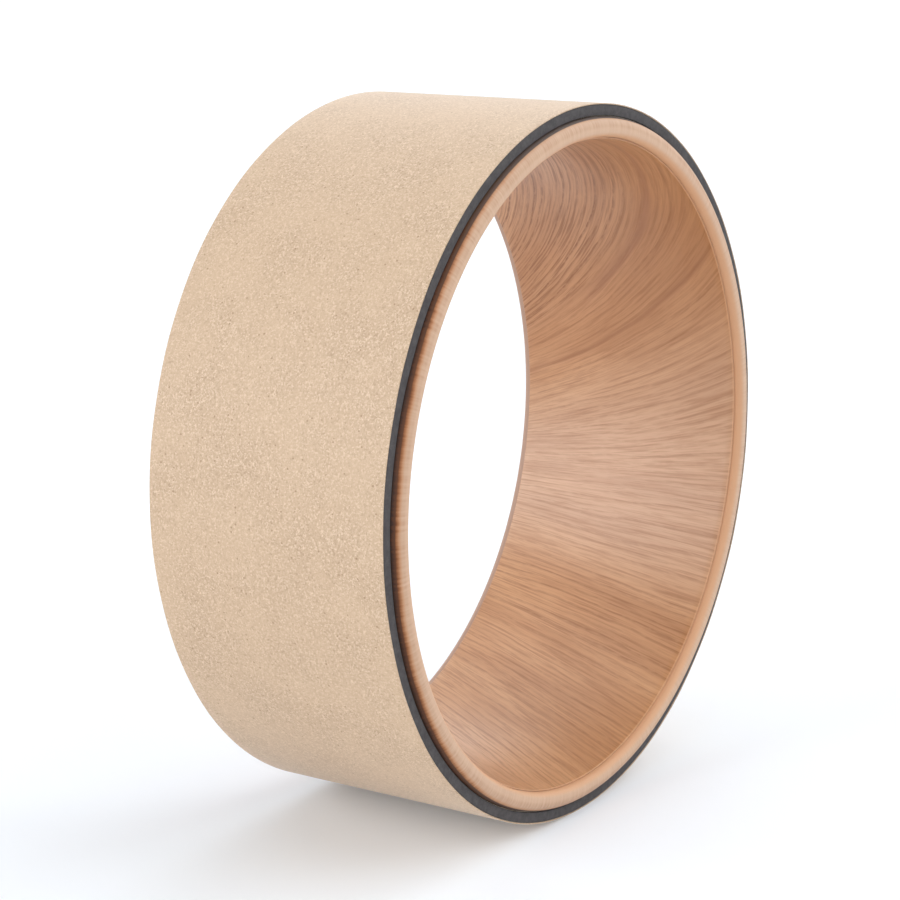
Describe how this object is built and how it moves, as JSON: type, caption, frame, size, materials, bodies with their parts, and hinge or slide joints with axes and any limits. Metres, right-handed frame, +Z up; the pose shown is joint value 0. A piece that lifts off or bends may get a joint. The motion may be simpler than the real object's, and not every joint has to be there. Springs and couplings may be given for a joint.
{
  "type": "yoga wheel",
  "caption": "Yoga wheel: a rigid ring with rounded wood-tone rims and a wood-grain lining, wrapped in a dark foam layer and a cork facing for stretching the back.",
  "frame": {"origin": "centre of the wheel, on its axis and midway between the two rims", "axes": "+Y along the wheel's axis, +Z up with the wheel standing on its tread"},
  "size_m": [0.33, 0.129, 0.33],
  "materials": {
    "cork": "fine-grained pressed cork, matte",
    "foam": "charcoal closed-cell foam, cut edge, matte",
    "rim": "moulded ring with a pale wood-tone finish, scorched brown beside the foam, satin",
    "wood_grain": "wood-grain sheet with arched figure, satin",
    "adhesive": "thin film of set adhesive"
  },
  "bodies": {
    "root": {"cork_facing": "cork", "cork_bond_film": "adhesive", "foam_layer": "foam", "foam_bond_film": "adhesive", "core_ring": "rim", "liner_bond_film": "adhesive", "wood_grain_liner": "wood_grain"}
  },
  "joints": []
}
